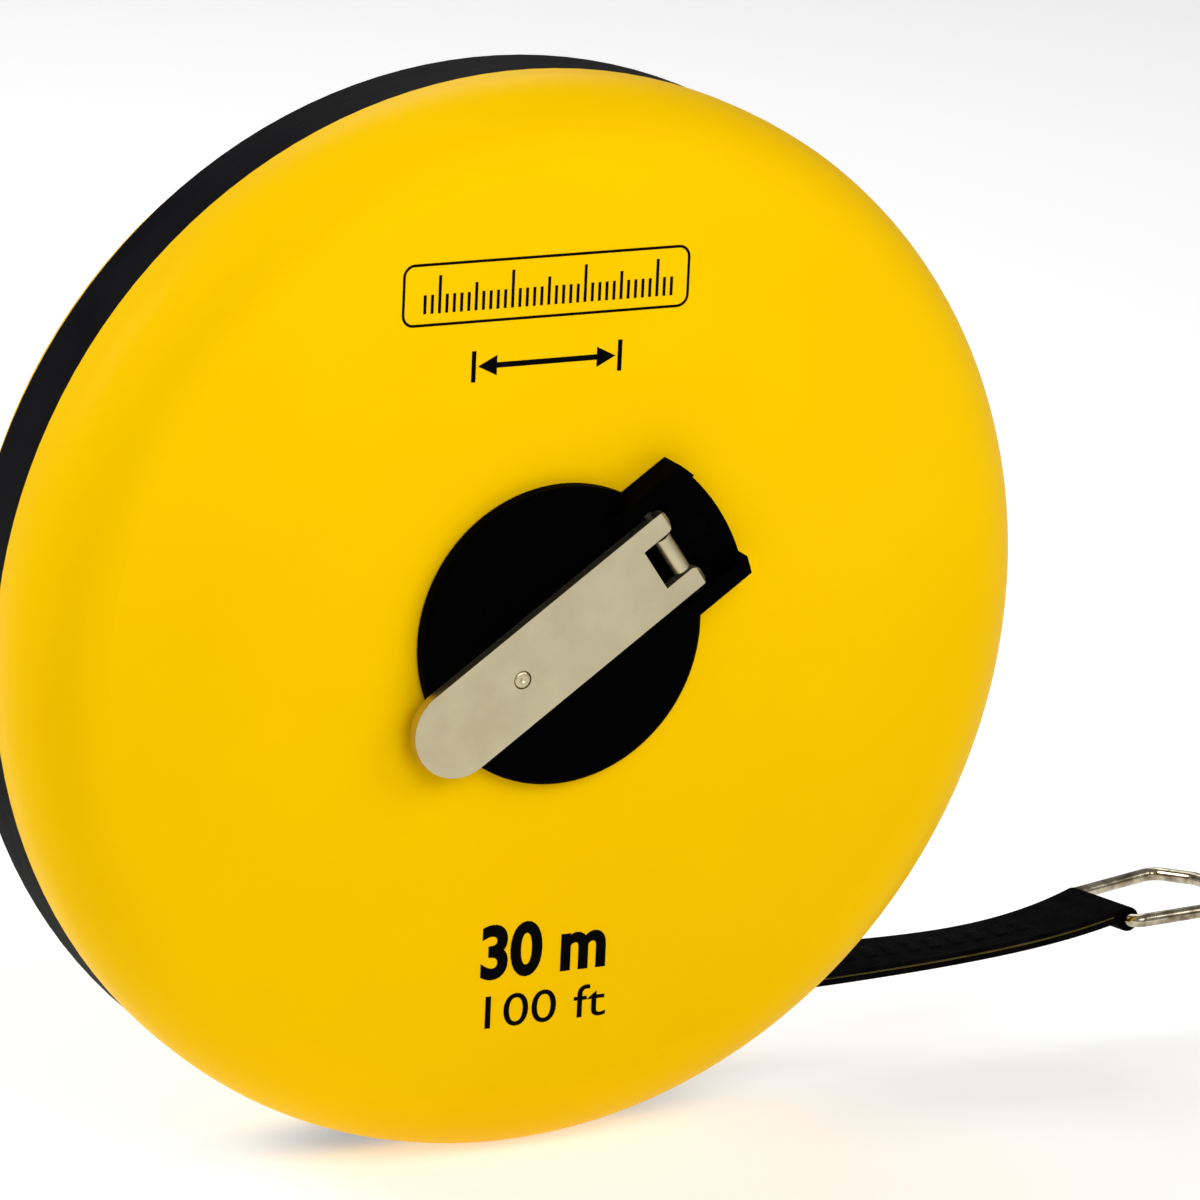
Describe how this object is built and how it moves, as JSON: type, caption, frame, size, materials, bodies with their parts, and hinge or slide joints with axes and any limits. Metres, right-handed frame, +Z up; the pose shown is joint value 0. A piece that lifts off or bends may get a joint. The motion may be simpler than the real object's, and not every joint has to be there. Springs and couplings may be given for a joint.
{
  "type": "surveyor tape reel",
  "caption": "Round closed-case reel for a long measuring tape: dished shells with a rim band, wound tape on a drum, folding crank with stowed knob, and an end strap with a wire hook ring.",
  "frame": {"origin": "on the reel's axis at mid-thickness of the case, where the hand holds it", "axes": "+Y along the reel's axis from the crank side to the rear, +Z up, +X the way the tape is pulled out"},
  "size_m": [0.1831, 0.0407, 0.14],
  "materials": {
    "shell_yellow": "smooth moulded, satin gloss",
    "band_black": "fine moulded grain",
    "hub_black": "moulded, low gloss",
    "guide_black": "moulded",
    "bush_white": "machined acetal",
    "drum_grey": "moulded",
    "tape_yellow": "printed glass-fibre tape",
    "steel_nickel": "nickel plated, satin",
    "screw_zinc": "zinc plated",
    "rivet_black": "black oxide",
    "knob_black": "moulded",
    "strap_black": "embossed coated strap",
    "ring_chrome": "nickel plated wire"
  },
  "bodies": {
    "case": {"front_shell": "shell_yellow", "rear_shell": "shell_yellow", "rim_band": "band_black", "mouth_guide": "guide_black", "guide_pins": "steel_nickel", "case_screws": "screw_zinc", "rear_bush": "bush_white", "rear_cap": "hub_black", "tape_lead": "tape_yellow"},
    "drum": {"drum_core": "drum_grey", "drum_flange_front": "drum_grey", "drum_flange_rear": "drum_grey", "tape_coil": "tape_yellow", "tape_anchor": "screw_zinc", "hub_screws": "screw_zinc", "axle_washer": "screw_zinc", "axle_screw": "screw_zinc", "crank_hub": "hub_black", "hinge_leaf": "steel_nickel", "leaf_rivet": "rivet_black", "hinge_pin": "steel_nickel"},
    "crank": {"crank_arm": "steel_nickel", "knob_axle": "steel_nickel", "knob_washer": "screw_zinc"},
    "knob": {"knob": "knob_black"},
    "tape_end": {"tape_run": "tape_yellow", "tape_tongue": "tape_yellow", "tape_strap": "strap_black"},
    "ring": {"hook_ring": "ring_chrome"}
  },
  "joints": [
    {"name": "drum_spin", "type": "hinge", "parent": "case", "child": "drum", "pos_m": [0, 0, 0], "axis": [0, -1, 0], "range_deg": [0, 360]},
    {"name": "crank_fold", "type": "hinge", "parent": "drum", "child": "crank", "pos_m": [0.01491, -0.0211, 0.01044], "axis": [-0.5736, 0, 0.8192], "range_deg": [0, 168]},
    {"name": "knob_spin", "type": "hinge", "parent": "crank", "child": "knob", "pos_m": [-0.00573, -0.014, -0.00402], "axis": [0, -1, 0], "continuous": true},
    {"name": "tape_pull", "type": "slide", "parent": "case", "child": "tape_end", "axis": [1, 0, 0], "range_m": [0, 0.389], "deforming": ["tape_run"]},
    {"name": "ring_swivel", "type": "hinge", "parent": "tape_end", "child": "ring", "pos_m": [0.09366, -0.00007, -0.05199], "axis": [-0.0435, 0.9932, -0.1078], "range_deg": [-120, 120]}
  ],
  "couplings": [
    {"joint": "tape_pull", "follows": "drum_spin", "m_per_rad": 0.06183}
  ]
}
